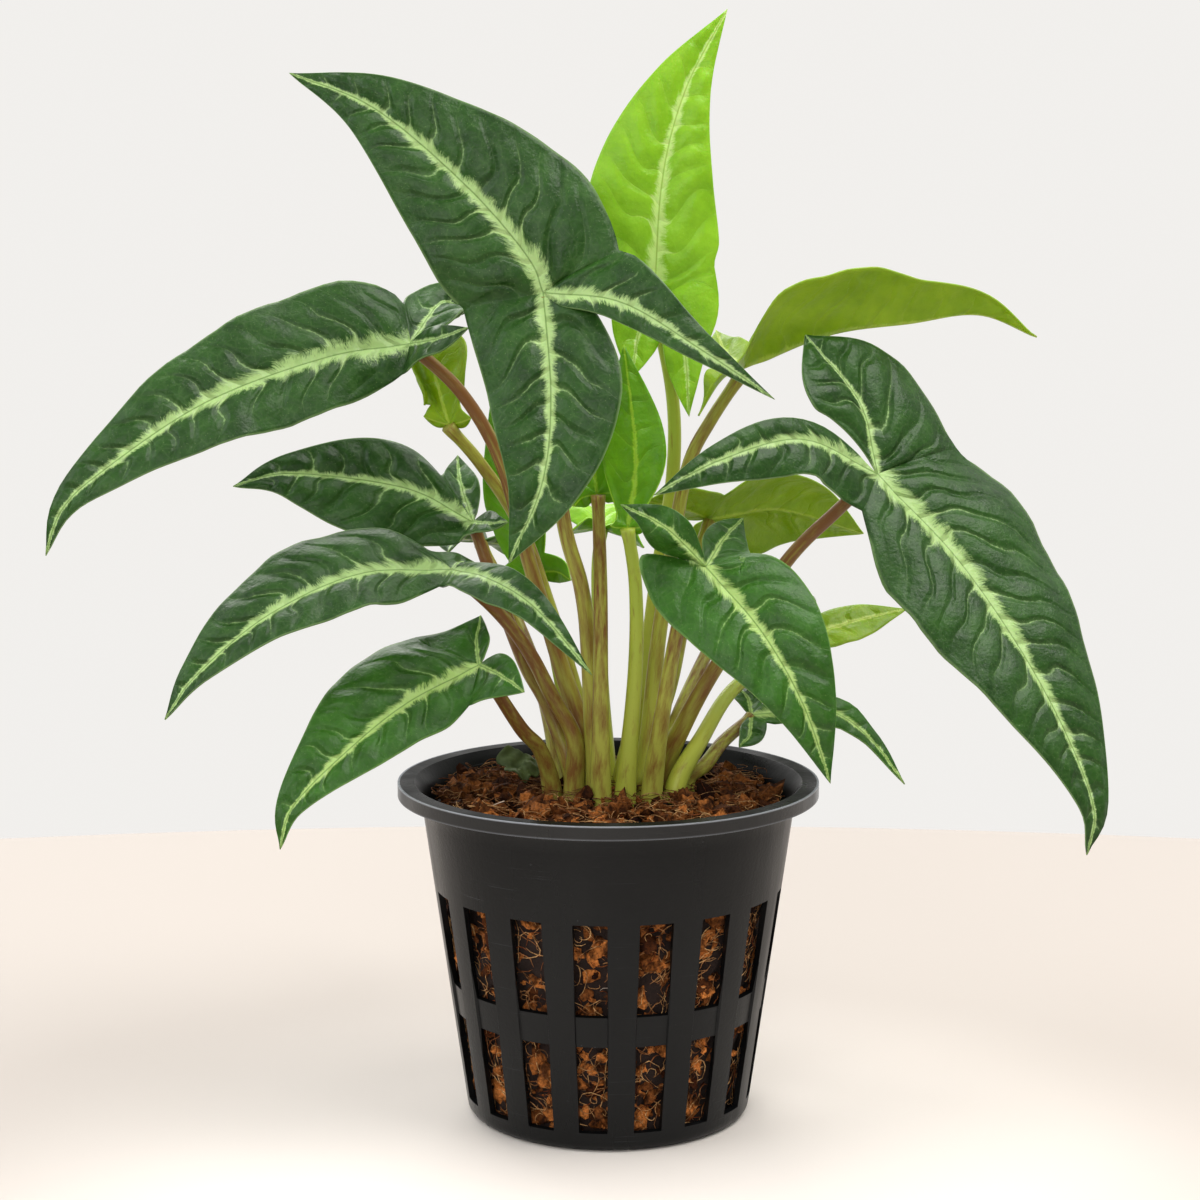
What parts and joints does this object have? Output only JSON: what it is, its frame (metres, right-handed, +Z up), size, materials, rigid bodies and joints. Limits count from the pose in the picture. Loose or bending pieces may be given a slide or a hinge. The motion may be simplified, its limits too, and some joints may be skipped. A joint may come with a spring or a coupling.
{
  "type": "potted syngonium wendlandii",
  "caption": "House plant with arrow-shaped three-lobed leaves, pale midribs and slim upright stalks, growing from coarse medium in a round slotted net pot with a rolled rim.",
  "frame": {"origin": "centre of the pot's flat underside", "axes": "+Z up along the pot's axis, -Y towards the plant's front, +X to the right seen from the front"},
  "size_m": [0.2659, 0.169, 0.2921],
  "materials": {
    "pot_polypropylene": "moulded, satin",
    "growing_medium": "coarse chips and fibres, dry on top",
    "leaf_dark": "satin, deep green with a pale midrib",
    "leaf_lime": "satin, young yellow-green",
    "leaf_olive": "matte underside, olive",
    "stalk": "smooth, yellow-green to reddish-brown",
    "leaf_scrap": "matte, dried grey-green"
  },
  "bodies": {
    "root": {"pot": "pot_polypropylene", "leaf_scrap": "leaf_scrap", "growing_medium": "growing_medium", "leaf_a_blade": "leaf_dark", "leaf_a_stalk": "stalk", "leaf_b_blade": "leaf_dark", "leaf_b_stalk": "stalk", "leaf_c_blade": "leaf_dark", "leaf_c_stalk": "stalk", "leaf_d_blade": "leaf_dark", "leaf_d_stalk": "stalk", "leaf_e_blade": "leaf_dark", "leaf_e_stalk": "stalk", "leaf_f_blade": "leaf_dark", "leaf_f_stalk": "stalk", "leaf_g_blade": "leaf_dark", "leaf_g_stalk": "stalk", "leaf_h_blade": "leaf_lime", "leaf_h_stalk": "stalk", "leaf_i_blade": "leaf_olive", "leaf_i_stalk": "stalk", "leaf_j_blade": "leaf_lime", "leaf_j_stalk": "stalk", "leaf_k_blade": "leaf_olive", "leaf_k_stalk": "stalk", "leaf_l_blade": "leaf_lime", "leaf_l_stalk": "stalk", "leaf_m_blade": "leaf_dark", "leaf_m_stalk": "stalk", "leaf_n_blade": "leaf_olive", "leaf_n_stalk": "stalk", "leaf_o_blade": "leaf_lime", "leaf_o_stalk": "stalk", "leaf_q_blade": "leaf_lime", "leaf_q_stalk": "stalk", "leaf_r_blade": "leaf_lime", "leaf_r_stalk": "stalk", "leaf_s_blade": "leaf_dark", "leaf_s_stalk": "stalk", "leaf_t_blade": "leaf_dark", "leaf_t_stalk": "stalk"}
  },
  "joints": []
}
